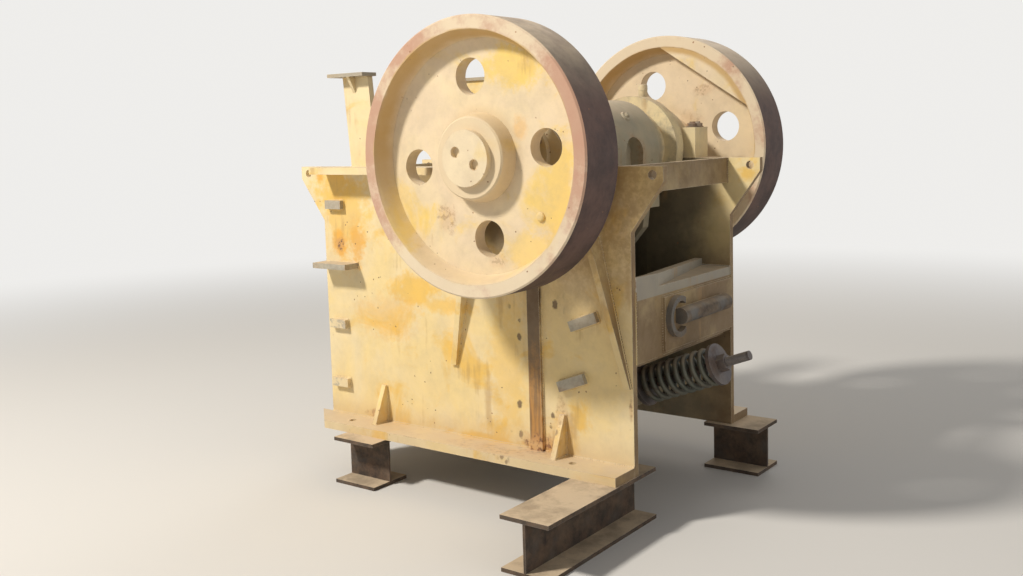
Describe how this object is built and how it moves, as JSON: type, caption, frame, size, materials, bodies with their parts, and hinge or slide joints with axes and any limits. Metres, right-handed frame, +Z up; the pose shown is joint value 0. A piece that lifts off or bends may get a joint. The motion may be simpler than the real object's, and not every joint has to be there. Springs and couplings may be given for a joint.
{
  "type": "jaw crusher",
  "caption": "Single-toggle jaw crusher: welded side plates, eccentric shaft with heavy flywheels, swinging jaw, toggle plate, tension rod and spring, on short steel joists.",
  "frame": {"origin": "middle of the machine's footprint on the floor, under the joists", "axes": "+X to the discharge end, +Y along the eccentric shaft to the flywheel with the counterweight, +Z up"},
  "size_m": [1.9874, 1.822, 1.89],
  "materials": {
    "frame_paint": "cream paint, dusty, chipped and rusted along the edges",
    "bare_plate_steel": "bare worn steel with rust",
    "die_steel": "manganese steel casting, scuffed",
    "housing_paint": "dusty grey-brown paint over a casting",
    "shaft_steel": "machined steel",
    "wheel_paint": "cream paint, rim worn to rust",
    "cap_paint": "cream paint over steel",
    "jaw_casting": "dusty grey casting",
    "toggle_casting": "dark casting",
    "rod_steel": "dark oily steel",
    "spring_steel": "dark grey-green spring steel",
    "joist_steel": "rusty rolled steel"
  },
  "bodies": {
    "root": {"side_plate_near": "frame_paint", "side_plate_far": "frame_paint", "foot_flange_near": "frame_paint", "foot_flange_far": "frame_paint", "top_flange_near": "frame_paint", "top_flange_far": "frame_paint", "foot_gussets_near": "frame_paint", "foot_gussets_far": "frame_paint", "bearing_legs_near": "frame_paint", "bearing_legs_far": "frame_paint", "front_wall": "frame_paint", "front_wall_ribs": "frame_paint", "front_wall_uprights": "frame_paint", "plate_tenons_near": "bare_plate_steel", "plate_tenons_far": "bare_plate_steel", "side_brackets": "bare_plate_steel", "fixed_die": "die_steel", "cheek_plate_near": "die_steel", "cheek_plate_far": "die_steel", "bearing_housing_near": "housing_paint", "bearing_housing_far": "housing_paint", "upper_cross_plate": "frame_paint", "rear_beam": "frame_paint", "beam_panel": "frame_paint", "rear_bar": "bare_plate_steel", "guide_plates": "frame_paint", "toggle_seat": "toggle_casting", "toggle_plate": "toggle_casting", "shim_pack": "toggle_casting", "tension_rod": "rod_steel", "tension_spring": "spring_steel", "spring_seats": "rod_steel", "rod_bracket": "frame_paint", "feed_posts": "frame_paint", "joist_rear_near": "joist_steel", "joist_rear_far": "joist_steel", "joists_front": "joist_steel"},
    "rotor": {"eccentric_shaft": "shaft_steel", "flywheel_near": "wheel_paint", "flywheel_far": "wheel_paint", "shaft_caps": "cap_paint"},
    "jaw": {"swing_jaw": "jaw_casting", "swing_die": "die_steel"}
  },
  "joints": [
    {"name": "shaft_spin", "type": "hinge", "parent": "root", "child": "rotor", "pos_m": [0.28826, 0.084, 1.39], "axis": [0, 1, 0], "continuous": true},
    {"name": "jaw_swing", "type": "hinge", "parent": "root", "child": "jaw", "pos_m": [0.28826, 0.084, 1.39], "axis": [0, 1, 0], "range_deg": [0, 1.2]}
  ]
}
